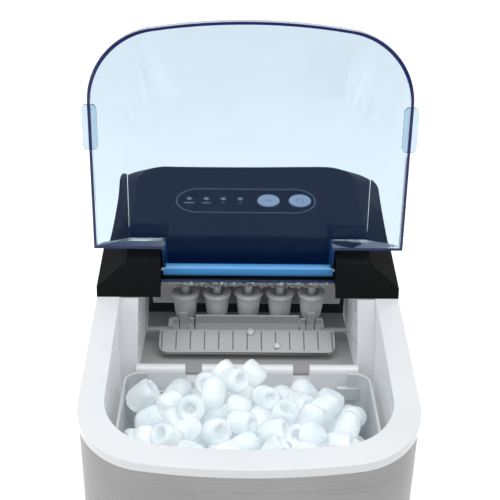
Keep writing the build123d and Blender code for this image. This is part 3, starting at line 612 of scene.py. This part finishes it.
class Bench:
    """Modelling by operators: one object at a time is shaped, finished and handed over."""

    def __init__(self, frame: dict) -> None:
        """Remember the frame and each node's slot.
        """
        self.frame = frame
        self.book = FinishBook()
        record = frame["record"]
        self.slots = {part["node"]: part["material_slot"] for part in record["subparts"]}
        bodies = record["behaviour"]["bodies"]
        self.body_of = {node: body for body, nodes in bodies.items() for node in nodes}

    def finish_of(self, node: str) -> Finish:
        """The finish of a CAD node: its own, or its slot's."""
        return NODE_FINISHES.get(node, FINISHES[self.slots[node]])

    def joint(self, name: str) -> dict:
        """The record of a joint."""
        return next(joint for joint in self.frame["joints"] if joint["name"] == name)

    def islands(self, node: str, reach: float) -> list[Vector]:
        """Centres of the separate bodies of a CAD node, seen from above.

        Args:
            node: The CAD node.
            reach: Points nearer than this belong together.

        Returns:
            The centre of each body's highest points, from left to right.
        """
        points = [vertex.co.copy() for vertex in self.frame["nodes"][node].data.vertices]
        centres: list[Vector] = []
        while points:
            seed = points[0]
            near = [q for q in points if math.hypot(q.x - seed.x, q.y - seed.y) < reach]
            points = [q for q in points if math.hypot(q.x - seed.x, q.y - seed.y) >= reach]
            middle = [(min(q[i] for q in near) + max(q[i] for q in near)) / 2 for i in (0, 1)]
            centres.append(Vector((*middle, max(q.z for q in near))))
        return sorted(centres, key=lambda centre: (round(centre.y, 3), centre.x))

    @staticmethod
    def clear_selection() -> None:
        """Deselect everything."""
        bpy.ops.object.select_all(action="DESELECT")

    def take(self, *objects: bpy.types.Object) -> bpy.types.Object:
        """Select only these objects.

        Args:
            objects: The objects; the last one becomes active.

        Returns:
            The active object.
        """
        self.clear_selection()
        for item in objects:
            item.select_set(True)
        bpy.context.view_layer.objects.active = objects[-1]
        return objects[-1]

    def cylinder(self, radius: float, depth: float, sides: int, name: str) -> bpy.types.Object:
        """Add a cylinder along Z, centred on the origin.

        Args:
            radius: Its radius.
            depth: Its height.
            sides: Its number of sides.
            name: The object's name.

        Returns:
            The object.
        """
        self.clear_selection()
        bpy.ops.mesh.primitive_cylinder_add(vertices=sides, radius=radius, depth=depth)
        bpy.context.object.name = name
        return bpy.context.object

    def ball(self, radius: float, levels: int, name: str) -> bpy.types.Object:
        """Add an icosphere centred on the origin.

        Args:
            radius: Its radius.
            levels: Its subdivisions.
            name: The object's name.

        Returns:
            The object.
        """
        self.clear_selection()
        bpy.ops.mesh.primitive_ico_sphere_add(subdivisions=levels, radius=radius)
        bpy.context.object.name = name
        return bpy.context.object

    def edit(self, item: bpy.types.Object, test: FaceTest | None = None) -> None:
        """Enter edit mode with some faces selected.

        Args:
            item: The object.
            test: Takes a face's centre and normal; all faces are selected without it.
        """
        self.take(item)
        bpy.context.tool_settings.mesh_select_mode = (False, False, True)
        bpy.ops.object.mode_set(mode="EDIT")
        bpy.ops.mesh.select_all(action="SELECT" if test is None else "DESELECT")
        if test is not None:
            bpy.ops.object.mode_set(mode="OBJECT")
            for polygon in item.data.polygons:
                polygon.select = test(polygon.center, polygon.normal)
            bpy.ops.object.mode_set(mode="EDIT")

    @staticmethod
    def done() -> None:
        """Leave edit mode."""
        bpy.ops.object.mode_set(mode="OBJECT")

    def grow(self, rings: Iterable[tuple[float, float]], radius: float) -> None:
        """Extrude the selected round face up through a profile, about the Z axis.

        Args:
            rings: The rise and the new radius of each ring.
            radius: The face's radius to start from.
        """
        for rise, wider in rings:
            bpy.ops.mesh.extrude_region_move(TRANSFORM_OT_translate={"value": (0, 0, rise)})
            share = wider / radius
            bpy.ops.transform.resize(value=(share, share, 1.0))
            radius = wider

    def turned(self, rings: list[tuple[float, float]], sides: int, name: str) -> bpy.types.Object:
        """Raise a round body from a thin disc by growing it through a profile.

        Args:
            rings: The first height and radius, then the rise and radius of each next ring.
            sides: Its number of sides.
            name: The object's name.

        Returns:
            The body, standing on the origin.
        """
        thick, radius = rings[0]
        body = self.cylinder(radius, thick, sides, name)
        body.data.transform(Matrix.Translation((0, 0, thick / 2)))
        self.edit(body, lambda centre, normal: centre.z > thick * 0.99)
        self.grow(rings[1:], radius)
        self.done()
        return body

    def add_modifier(self, item: bpy.types.Object, kind: str, **settings: object) -> None:
        """Add a modifier and apply it.

        Args:
            item: The object.
            kind: The modifier's type.
            settings: Its properties.
        """
        self.take(item)
        modifier = item.modifiers.new(kind.title(), kind)
        for key, setting in settings.items():
            setattr(modifier, key, setting)
        bpy.ops.object.modifier_apply(modifier=modifier.name)

    def smooth(self, item: bpy.types.Object, degrees: float = 35.0) -> None:
        """Shade smooth except at edges sharper than an angle."""
        self.take(item)
        bpy.ops.object.shade_smooth_by_angle(angle=math.radians(degrees))

    def paint(self, item: bpy.types.Object, *finishes: Finish) -> None:
        """Give an object its materials.

        Args:
            item: The object.
            finishes: The finishes, in slot order.
        """
        item.data.materials.clear()
        for finish in finishes:
            item.data.materials.append(self.book.get(finish))

    def copy_at(self, item: bpy.types.Object, place: Matrix) -> bpy.types.Object:
        """Copy an object with its own mesh, moved in the mesh.

        Args:
            item: The object to copy.
            place: Where the copy goes.

        Returns:
            The copy.
        """
        twin = item.copy()
        twin.data = item.data.copy()
        twin.data.transform(place)
        bpy.context.scene.collection.objects.link(twin)
        return twin

    def join(self, items: list[bpy.types.Object], name: str) -> bpy.types.Object:
        """Join objects into one.

        Args:
            items: The objects.
            name: The result's name.

        Returns:
            The joined object.
        """
        self.take(*items)
        bpy.ops.object.join()
        whole = bpy.context.object
        whole.name = name
        whole.data.name = name
        return whole

    def hand_over(self, item: bpy.types.Object, body: str) -> None:
        """Put a finished piece on its body and report it.

        Args:
            item: The piece.
            body: The body that it rides on.
        """
        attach(item, body)
        LOG.info("piece %s on %s: %d faces", item.name, body, len(item.data.polygons))

    def refined(self, node: str, bevel: float, rings: int = 2, angle: float = 30.0) -> bpy.types.Object:
        """Stand a soft-edged copy in for a CAD node.

        Args:
            node: The CAD node.
            bevel: The edge radius, in metres.
            rings: Segments across each edge.
            angle: Edges sharper than this are softened, in degrees.

        Returns:
            The copy, riding on the node's body.
        """
        source = self.frame["nodes"][node]
        twin = bpy.data.objects.new(f"{node}_soft", source.data.copy())
        bpy.context.scene.collection.objects.link(twin)
        self.take(twin)
        if twin.data.has_custom_normals:
            bpy.ops.mesh.customdata_custom_splitnormals_clear()
        self.edit(twin)
        bpy.ops.mesh.remove_doubles(threshold=0.002 * MM)
        bpy.ops.mesh.dissolve_limited(angle_limit=math.radians(0.6))
        self.done()
        self.add_modifier(
            twin,
            "BEVEL",
            width=bevel,
            segments=rings,
            limit_method="ANGLE",
            angle_limit=math.radians(angle),
            use_clamp_overlap=True,
            miter_outer="MITER_ARC",
        )
        self.smooth(twin)
        self.add_modifier(twin, "WEIGHTED_NORMAL", weight=50, keep_sharp=True)
        self.paint(twin, self.finish_of(node))
        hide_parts(node)
        self.hand_over(twin, self.body_of[node])
        return twin


# ---------------------------------------------------------------- sub-assemblies


@dataclass
class Internals:
    """CAD nodes that keep their CAD shape and get a better finish."""

    bench: Bench

    def dress(self) -> None:
        """Give every CAD node the finish of its slot."""
        for name, node in self.bench.frame["nodes"].items():
            self.bench.paint(node, self.bench.finish_of(name))
        LOG.info("dressed %d CAD nodes", len(self.bench.frame["nodes"]))


@dataclass
class Casing:
    """The outside and the mouldings inside the mouth, with softened edges."""

    bench: Bench
    fine: float = 0.35 * MM
    plain: float = 0.8 * MM
    round: float = 1.6 * MM
    bay_half: float = 71 * MM
    blade_lean: float = math.atan2(9.8, 19.0)
    blade_front: float = -2.0 * MM
    groove: tuple[float, float] = (0.1 * MM, 0.7 * MM)
    groove_end: float = 15 * MM

    def build(self) -> None:
        """Refine each visible moulding at its own edge radius."""
        edges = {
            "top_rim": self.round,
            "reservoir_tub": self.plain,
            "ice_chamber": self.plain,
            "chamber_floor": self.fine,
            "chamber_back": self.fine,
            "water_tray": self.fine,
            "ice_basket": 0.6 * MM,
            "control_housing": 0.45 * MM,
            "select_button": 0.4 * MM,
            "power_button": 0.4 * MM,
            "base_pan": self.plain,
            "cord_gland": self.fine,
            "rubber_feet": self.plain,
            "drain_cap": self.fine,
        }
        for node, radius in edges.items():
            self.bench.refined(node, radius, 3)
        housing = bpy.data.objects["control_housing_soft"]
        # The black housing's faces under the hinge that face front or up get painted light: deep blue with
        # a faint glow, where the blue lid's light shows.
        self.bench.paint(housing, self.bench.finish_of("control_housing"), PAINTED_HINGE_LIGHT)
        hinge = self.bench.joint("lid_hinge")["pos_m"]
        for face in housing.data.polygons:
            centre = face.center
            under = centre.y < hinge[1] and centre.z < hinge[2]
            seen = face.normal.y < -0.5 or face.normal.z > 0.5
            if under and seen and abs(centre.x) < self.bay_half:
                face.material_index = 1
        self.rib_lines()

    def rib_lines(self) -> None:
        """Darken the grooves of the pusher's blade."""
        pusher = self.bench.frame["nodes"]["ice_pusher"]
        self.bench.paint(pusher, self.bench.finish_of("ice_pusher"), GROOVE)
        across = Vector((0.0, -math.sin(self.blade_lean), math.cos(self.blade_lean)))
        lip = [v.co.dot(across) for v in pusher.data.vertices if v.co.y < self.blade_front]
        surface = max(lip)
        for face in pusher.data.polygons:
            depth = surface - face.center.dot(across)
            if self.groove[0] < depth < self.groove[1] and face.center.y < self.groove_end:
                face.material_index = 1


@dataclass
class Lid:
    """Clear blue lid: tinted walls, free edges painted deep blue as shade and a hinge barrel painted bright
    blue as a highlight.
    """

    bench: Bench
    edge_height: float = 1.2 * MM
    barrel_radius: float = 5.4 * MM
    ear_start: float = 122.1 * MM
    wall_inner: float = 119.6 * MM
    ear_middle: float = 79 * MM
    ear_half: float = 18 * MM

    def build(self) -> None:
        """Refine the lid, paint shade on its free edges and a highlight on its hinge barrel."""
        bench = self.bench
        lid = bench.refined("lid", 0.3 * MM, 2, 25.0)
        for reach in (-self.ear_start, -self.wall_inner, self.wall_inner, self.ear_start):
            bench.edit(lid)
            bpy.ops.mesh.bisect(plane_co=(reach, 0, 0), plane_no=(1, 0, 0))
            bench.done()
        bench.paint(lid, LID_BLUE, LID_EDGE_SHADE, BARREL_HIGHLIGHT)
        joint = bench.joint("lid_hinge")
        pivot = Vector(joint["pos_m"])
        close = Matrix.Rotation(math.radians(joint["range_deg"][0]), 4, Vector(joint["axis"]))
        about = Matrix.Translation(pivot) @ close @ Matrix.Translation(-pivot)
        to_closed = deck_frame().inverted() @ about
        turn = to_closed.to_3x3()
        for face in lid.data.polygons:
            centre = to_closed @ face.center
            facing = turn @ face.normal
            reach = math.hypot(face.center.y - pivot.y, face.center.z - pivot.z)
            # Barrel faces get the painted highlight; free-edge faces off the ears get the painted edge
            # shade.
            if reach < self.barrel_radius:
                face.material_index = 2
            elif centre.z < self.edge_height and facing.z < -0.8 and not self.on_ear(centre):
                face.material_index = 1

    def on_ear(self, centre: Vector) -> bool:
        """Whether a point of the closed lid's free edge lies on an ear.

        Args:
            centre: The point, on the level deck.

        Returns:
            True beside the wall, within an ear's length.
        """
        beside = not self.wall_inner < abs(centre.x) < self.ear_start
        return beside and abs(centre.y - self.ear_middle) < self.ear_half


@dataclass
class FingerIce:
    """Hollow ice bullets still hanging on the freezing fingers."""

    bench: Bench
    below_tip: float = 2.8 * MM
    sides: int = 20
    profile: tuple[tuple[float, float], ...] = (
        (0.6 * MM, 3.6 * MM),
        (0.9 * MM, 6.4 * MM),
        (3.0 * MM, 8.6 * MM),
        (7.0 * MM, 9.6 * MM),
        (9.5 * MM, 10.2 * MM),
        (2.4 * MM, 10.9 * MM),
        (1.8 * MM, 12.2 * MM),
        (1.8 * MM, 12.0 * MM),
        (0.8 * MM, 10.0 * MM),
        (-0.2 * MM, 5.4 * MM),
        (-5.0 * MM, 4.2 * MM),
    )

    def build(self) -> None:
        """Hang a bullet on every finger."""
        bench = self.bench
        proto = bench.turned(list(self.profile), self.sides, "bullet")
        bench.add_modifier(proto, "SUBSURF", levels=1, render_levels=1)
        bench.edit(proto)
        bpy.ops.transform.vertex_random(offset=0.22 * MM, seed=3)
        bench.done()
        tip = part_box("evaporator_fingers")[0].z - self.below_tip
        rng = random.Random(11)
        bullets = []
        for place in bench.islands("evaporator_fingers", 12 * MM):
            spin = Matrix.Rotation(rng.uniform(0, math.tau), 4, "Z")
            tall = Matrix.Diagonal((1.0, 1.0, rng.uniform(0.96, 1.0), 1.0))
            bullets.append(bench.copy_at(proto, Matrix.Translation((place.x, place.y, tip)) @ spin @ tall))
        bpy.data.objects.remove(proto)
        whole = bench.join(bullets, "finger_ice")
        bench.smooth(whole, 70)
        bench.paint(whole, FINGER_ICE)
        bench.hand_over(whole, "cabinet")


@dataclass
class IceHeap:
    """The basket's heap of hollow ice cubes."""

    bench: Bench
    radius: float = 9.9 * MM
    spacing: float = 17.2 * MM
    top_depth: float = 30 * MM
    wall_room: float = 5.4 * MM
    front_bow: float = 948 * MM
    seed: int = 5
    spots: list[Vector] = field(default_factory=list)

    def cube(self, name: str, bore: float, tall: float, smooth: bool) -> bpy.types.Object:
        """Model one hollow, round-ended cube.

        Args:
            name: The object's name.
            bore: The hole's radius, as a share of the cube's.
            tall: The cube's height, as a share of the usual one.
            smooth: Whether it gets a subdivision.

        Returns:
            The cube, centred on the origin.
        """
        bench = self.bench
        wide = self.radius
        rings = [
            (0.4 * MM, wide * 0.55),
            (1.2 * MM, wide * 0.82),
            (3.0 * MM, wide),
            (11.0 * MM * tall, wide * 1.02),
            (4.0 * MM, wide * 0.98),
            (1.6 * MM, wide * 0.80),
            (-0.1 * MM, wide * (bore + 0.1)),
            (-3.0 * MM, wide * bore),
            (-8.0 * MM, wide * bore * 0.75),
        ]
        body = bench.turned(rings, 10, name)
        body.data.transform(Matrix.Translation((0, 0, -10.5 * MM * tall)))
        if smooth:
            bench.add_modifier(body, "SUBSURF", levels=1, render_levels=1)
        return body

    def ceiling(self, x: float, y: float) -> float:
        """The heap's surface above a point.

        Args:
            x: Across, in metres.
            y: Depth, in metres.

        Returns:
            The height that the heap reaches there.
        """
        low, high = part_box("ice_basket")
        back = (y - low.y) / (high.y - low.y)
        swell = math.exp(-(((x + 14 * MM) / (40 * MM)) ** 2))
        ridge = math.exp(-(((back - 0.86) / 0.34) ** 2))
        return high.z + (11 - 9 * ridge + 25 * swell * ridge) * MM

    def settle(self) -> None:
        """Drop the cubes one by one, each to the lowest of several tried places."""
        rng = random.Random(self.seed)
        low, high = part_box("ice_basket")
        wall = self.radius + self.wall_room
        half = high.x - wall
        front = low.y + wall
        back = high.y - wall
        corner = 30 * MM
        misses = 0
        while misses < 80:
            best: Vector | None = None
            for _ in range(12):
                x = rng.uniform(-half, half)
                bowed = front + x * x / self.front_bow
                y = rng.uniform(bowed, back)
                over = math.hypot(max(0.0, abs(x) - half + corner), max(0.0, bowed + corner - y))
                if over > corner:
                    continue
                z = self.rest_height(x, y, low.z + wall)
                if z + self.spacing / 2 > self.ceiling(x, y):
                    continue
                if best is None or z < best.z:
                    best = Vector((x, y, z))
            if best is None:
                misses += 1
            else:
                self.spots.append(best)

    def rest_height(self, x: float, y: float, floor: float) -> float:
        """How low a cube can come to rest at a place.

        Args:
            x: Across.
            y: Depth.
            floor: The lowest centre height.

        Returns:
            The centre height.
        """
        height = floor
        for spot in self.spots:
            flat = math.hypot(spot.x - x, spot.y - y)
            if flat < self.spacing:
                height = max(height, spot.z + math.sqrt(self.spacing**2 - flat**2))
        return height

    def build(self) -> None:
        """Settle the heap and fill it: fine cubes on top, plainer ones underneath."""
        self.settle()
        top = [spot for spot in self.spots if spot.z > self.ceiling(spot.x, spot.y) - self.top_depth]
        below = [spot for spot in self.spots if spot not in top]
        self.fill(top, "ice_heap_top", True)
        self.fill(below, "ice_heap_below", False)

    def fill(self, spots: list[Vector], name: str, smooth: bool) -> None:
        """Copy a cube to each place and join them.

        Args:
            spots: The places.
            name: The piece's name.
            smooth: Whether the cubes are subdivided.
        """
        bench = self.bench
        sizes = ((0.44, 1.0), (0.5, 0.86), (0.36, 1.1))
        kinds = [self.cube(f"cube_{bore}", bore, tall, smooth) for bore, tall in sizes]
        rng = random.Random(self.seed + len(spots))
        copies = []
        for spot in spots:
            turn = Euler((rng.gauss(1.1, 0.7), rng.gauss(0.0, 0.6), rng.uniform(0, math.tau)))
            grow = rng.uniform(0.92, 1.1)
            place = Matrix.Translation(spot) @ turn.to_matrix().to_4x4() @ Matrix.Scale(grow, 4)
            copies.append(bench.copy_at(rng.choice(kinds), place))
        for kind in kinds:
            bpy.data.objects.remove(kind)
        whole = bench.join(copies, name)
        bench.edit(whole)
        bpy.ops.transform.vertex_random(offset=0.3 * MM, seed=9)
        bench.done()
        bench.smooth(whole, 80)
        bench.paint(whole, HEAP_ICE)
        bench.hand_over(whole, "basket")
        LOG.info("%s holds %d cubes", name, len(spots))


@dataclass
class Beads:
    """Frost beads under the hinge and water drops on the walls and the pusher."""

    bench: Bench

    def drop(self, radius: float, levels: int = 2) -> bpy.types.Object:
        """Model a drop: a ball cut flat below its middle.

        Args:
            radius: Its radius.
            levels: Its subdivisions.

        Returns:
            The drop, lying on the XY plane.
        """
        body = self.bench.ball(radius, levels, "drop")
        self.bench.edit(body)
        cut = {"plane_co": (0, 0, -radius * 0.3), "plane_no": (0, 0, 1)}
        bpy.ops.mesh.bisect(**cut, use_fill=True, clear_inner=True)
        self.bench.done()
        body.data.transform(Matrix.Translation((0, 0, radius * 0.3)))
        return body

    def scatter(self, places: list[Matrix], name: str, body: str, finish: Finish, radius: float) -> None:
        """Copy a drop to each place and join them.

        Args:
            places: Where the drops lie, scaled.
            name: The piece's name.
            body: The body that it rides on.
            finish: Its finish.
            radius: The drop's radius before scaling.
        """
        proto = self.drop(radius)
        drops = [self.bench.copy_at(proto, place) for place in places]
        bpy.data.objects.remove(proto)
        whole = self.bench.join(drops, name)
        self.bench.smooth(whole, 60)
        self.bench.paint(whole, finish)
        self.bench.hand_over(whole, body)

    def frost(self) -> None:
        """A crust of beads along the front of the bay floor and round the evaporator's front run."""
        rng = random.Random(21)
        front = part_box("evaporator_tube")[0].y
        shelf = 282.4 * MM
        down = Matrix.Rotation(math.pi, 4, "X")
        places = []
        for _ in range(150):
            x = rng.uniform(-74, 74) * MM
            size = rng.uniform(0.5, 1.4)
            spot = Vector((x, rng.uniform(13.2, 22.0) * MM, shelf))
            tall = rng.uniform(0.8, 1.9)
            places.append(Matrix.Translation(spot) @ down @ Matrix.Diagonal((size, size, size * tall, 1.0)))
        self.scatter(places, "frost_beads", "cabinet", FROST, 1.6 * MM)
        ring = []
        for _ in range(130):
            turn = rng.uniform(-2.4, 0.4)
            size = rng.uniform(0.6, 1.5)
            outward = Vector((0, math.cos(turn + math.pi), math.sin(turn)))
            spot = Vector((rng.uniform(-64, 62) * MM, front + 3.5 * MM, 270.5 * MM)) + outward * 3.2 * MM
            tilt = outward.to_track_quat("Z", "Y").to_matrix().to_4x4()
            ring.append(Matrix.Translation(spot) @ tilt @ Matrix.Scale(size, 4))
        self.scatter(ring, "evaporator_frost", "cabinet", FROST, 1.3 * MM)

    def drops(self) -> None:
        """Drops on the inner faces of both cheeks and on the pusher."""
        rng = random.Random(8)
        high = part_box("chamber_floor")[1]
        places = []
        for side, count in ((-1, 20), (1, 22)):
            face = side * (high.x + 0.3 * MM)
            inward = Vector((-side, 0, 0)).to_track_quat("Z", "Y").to_matrix().to_4x4()
            for _ in range(count):
                y = rng.uniform(-14, 30) * MM
                z = rng.uniform(222, 262) * MM
                size = rng.uniform(0.35, 1.0)
                shape = Matrix.Diagonal((size, size * rng.uniform(0.9, 1.5), size * 0.5, 1.0))
                places.append(Matrix.Translation((face, y, z)) @ inward @ shape)
        self.scatter(places, "cheek_drops", "cabinet", FROST, 1.5 * MM)
        lean = math.atan2(9.8, 19.0)
        flat = Matrix.Rotation(lean, 4, "X") @ Matrix.Diagonal((1.0, 1.0, 0.4, 1.0))
        spots = ((25, 2.6, 0.9), (-32, 11.0, 0.3), (3, 14.0, 0.95), (38, 1.0, 0.25), (-20, 6.0, 0.35))
        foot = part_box("ice_pusher")[0]
        on_blade = []
        for x, y, size in spots:
            z = foot.z + 2.0 * MM + (y * MM - foot.y) * math.tan(lean)
            on_blade.append(Matrix.Translation((x * MM, y * MM, z)) @ flat @ Matrix.Scale(size, 4))
        self.scatter(on_blade, "pusher_drops", "pusher", FROST, 3.6 * MM)

    def build(self) -> None:
        """Add the frost and the drops."""
        self.frost()
        self.drops()


@dataclass
class PanelPrint:
    """Printed marks of the control panel: lamp rings, dashes below them and button signs."""

    bench: Bench
    lift: float = 0.12 * MM

    def bar(self, length: float, width: float) -> bpy.types.Object:
        """Model a thin bar with soft ends, centred on the origin.

        Args:
            length: Along X.
            width: Along Y.

        Returns:
            The bar.
        """
        bench = self.bench
        bench.clear_selection()
        bpy.ops.mesh.primitive_cube_add(size=1.0)
        body = bpy.context.object
        body.data.transform(Matrix.Diagonal((length, width, self.lift, 1.0)))
        bench.add_modifier(body, "BEVEL", width=width * 0.3, segments=2, limit_method="ANGLE")
        return body

    def ring(self, radius: float, line: float, gap: float = 0.0) -> bpy.types.Object:
        """Model a thin ring, with an optional gap at its top.

        Args:
            radius: Its middle radius.
            line: The line's half width.
            gap: The gap's half width.

        Returns:
            The ring, centred on the origin.
        """
        bench = self.bench
        bench.clear_selection()
        bpy.ops.mesh.primitive_torus_add(
            major_radius=radius, minor_radius=line, major_segments=32, minor_segments=6
        )
        body = bpy.context.object
        body.data.transform(Matrix.Diagonal((1.0, 1.0, self.lift / (2 * line), 1.0)))
        if gap:
            bench.edit(body, lambda centre, normal: abs(centre.x) < gap and centre.y > 0)
            bpy.ops.mesh.delete(type="FACE")
            bpy.ops.mesh.select_all(action="SELECT")
            bpy.ops.mesh.fill_holes(sides=8)
            bench.done()
        return body

    def place_all(self, marks: list[bpy.types.Object], name: str, body: str, finish: Finish) -> None:
        """Join marks drawn on the level deck, move them onto the deck and hand them over.

        Args:
            marks: The marks.
            name: The piece's name.
            body: The body that it rides on.
            finish: Its finish.
        """
        whole = self.bench.join(marks, name)
        whole.data.transform(deck_frame())
        self.bench.smooth(whole, 50)
        self.bench.paint(whole, finish)
        self.bench.hand_over(whole, body)

    def moved(self, item: bpy.types.Object, spot: Vector, turn: float = 0.0) -> bpy.types.Object:
        """Move a mark in its mesh.

        Args:
            item: The mark.
            spot: Its new centre on the level deck.
            turn: Its turn about the deck's normal, in radians.

        Returns:
            The mark.
        """
        item.data.transform(Matrix.Translation(spot) @ Matrix.Rotation(turn, 4, "Z"))
        return item

    def build(self) -> None:
        """Print the lamp rings and dashes, then a sign on each button."""
        to_deck = deck_frame().inverted()
        marks = []
        for index, lamp in enumerate(self.bench.islands("indicator_lamps", 6 * MM)):
            spot = to_deck @ lamp
            spot.z = self.top_of("control_overlay")
            marks.append(self.moved(self.ring(2.1 * MM, 0.16 * MM), spot))
            wide = (9.0, 7.5, 2.0, 2.0)[index] * MM
            below = spot + Vector((0, -7.0 * MM, 0))
            marks.append(self.moved(self.bar(wide, 0.9 * MM), below))
        self.place_all(marks, "panel_print", "cabinet", MARK_PALE)
        for node, body in (("select_button", "select_key"), ("power_button", "power_key")):
            middle = sum(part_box(node), Vector()) / 2
            spot = to_deck @ middle
            spot.z = self.top_of(node)
            if node == "power_button":
                sign = [self.moved(self.ring(3.0 * MM, 0.28 * MM, 1.0 * MM), spot)]
                stem = self.bar(2.6 * MM, 0.55 * MM)
                sign.append(self.moved(stem, spot + Vector((0, 2.6 * MM, 0)), math.pi / 2))
            else:
                sign = []
                for shift in (-2.2, 0.6):
                    for tilt in (0.7, -0.7):
                        arm = self.bar(2.8 * MM, 0.55 * MM)
                        offset = Vector((shift + 0.8, -math.copysign(0.85, tilt), 0)) * MM
                        sign.append(self.moved(arm, spot + offset, tilt))
            self.place_all(sign, f"{body}_sign", body, MARK_DARK)

    def top_of(self, node: str) -> float:
        """Height of a node's top above the level deck."""
        to_deck = deck_frame().inverted()
        return max((to_deck @ v.co).z for v in self.bench.frame["nodes"][node].data.vertices)


@dataclass
class Studio:
    """Pale floor, soft light and the camera."""

    lens: float = 70.6
    place: tuple[float, float, float] = (-0.01365, -0.67423, 0.6839)
    pitch: float = 28.44
    roll: float = 1.06
    yaw: float = -1.23

    def camera(self) -> None:
        """Add the camera and make it the scene's."""
        yaw, pitch, roll = (math.radians(a) for a in (self.yaw, self.pitch, self.roll))
        right = Vector((math.cos(yaw), math.sin(yaw), 0.0))
        level = Vector((-math.sin(yaw), math.cos(yaw), 0.0))
        ahead = level * math.cos(pitch) - Vector((0, 0, math.sin(pitch)))
        up = level * math.sin(pitch) + Vector((0, 0, math.cos(pitch)))
        side = right * math.cos(roll) + up * math.sin(roll)
        above = up * math.cos(roll) - right * math.sin(roll)
        data = bpy.data.cameras.new("camera")
        data.lens = self.lens
        data.sensor_width = 36.0
        data.clip_start = 0.01
        holder = bpy.data.objects.new("camera", data)
        turn = Matrix((side, above, -ahead)).transposed().to_4x4()
        holder.matrix_world = Matrix.Translation(self.place) @ turn
        bpy.context.scene.collection.objects.link(holder)
        bpy.context.scene.camera = holder

    def floor(self, bench: Bench) -> None:
        """Add the floor, a broad flat sheet."""
        bench.clear_selection()
        bpy.ops.mesh.primitive_grid_add(x_subdivisions=8, y_subdivisions=8, size=8.0)
        sheet = bpy.context.object
        sheet.name = "studio_floor"
        bench.paint(sheet, FLOOR)

    def light(self, name: str, size: float, power: float, place: Vector, target: Vector) -> None:
        """Add a square soft light.

        Args:
            name: Its name.
            size: Its side, in metres.
            power: Its power, in watts.
            place: Where it hangs.
            target: What it points at.
        """
        data = bpy.data.lights.new(name, "AREA")
        data.size = size
        data.energy = power
        lamp = bpy.data.objects.new(name, data)
        lamp.matrix_world = Matrix.Translation(place) @ (
            (target - place).to_track_quat("-Z", "Y").to_matrix().to_4x4()
        )
        bpy.context.scene.collection.objects.link(lamp)

    def sky(self) -> None:
        """Soft white surround, dimmer low at the front."""
        world = bpy.data.worlds.new("surround")
        world.use_nodes = True
        bpy.context.scene.world = world
        net = Net(world.node_tree)
        towards = net.node("ShaderNodeTexCoord", {}, {}, "Generated")
        along = net.node("ShaderNodeSeparateXYZ", {}, {"Vector": towards}, "Y")
        height = net.node("ShaderNodeSeparateXYZ", {}, {"Vector": towards}, "Z")
        bright = (along + height * 0.9).step(-0.55, 0.35)
        shade = net.blend(bright, (0.40, 0.40, 0.41), (1.0, 1.0, 1.0))
        backdrop = net.node("ShaderNodeBackground", {}, {"Color": shade, "Strength": 0.95})
        net.node_output("ShaderNodeOutputWorld", backdrop)

    def build(self, bench: Bench) -> None:
        """Set up the whole studio."""
        self.camera()
        self.floor(bench)
        centre = Vector((0.0, 0.0, 0.25))
        self.light("overhead", 1.2, 14.0, Vector((0.1, -0.35, 1.5)), centre)
        self.light("left_fill", 1.0, 6.0, Vector((-1.3, -0.5, 0.9)), centre)
        self.sky()
        bpy.context.scene.view_settings.view_transform = "Standard"


def main() -> None:
    """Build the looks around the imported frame, in order."""
    logging.basicConfig(level=logging.INFO, format="%(name)s %(message)s")
    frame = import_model()
    bench = Bench(frame)
    Studio().build(bench)
    Internals(bench).dress()
    Casing(bench).build()
    Lid(bench).build()
    FingerIce(bench).build()
    IceHeap(bench).build()
    Beads(bench).build()
    PanelPrint(bench).build()


if __name__ == "__main__":
    main()
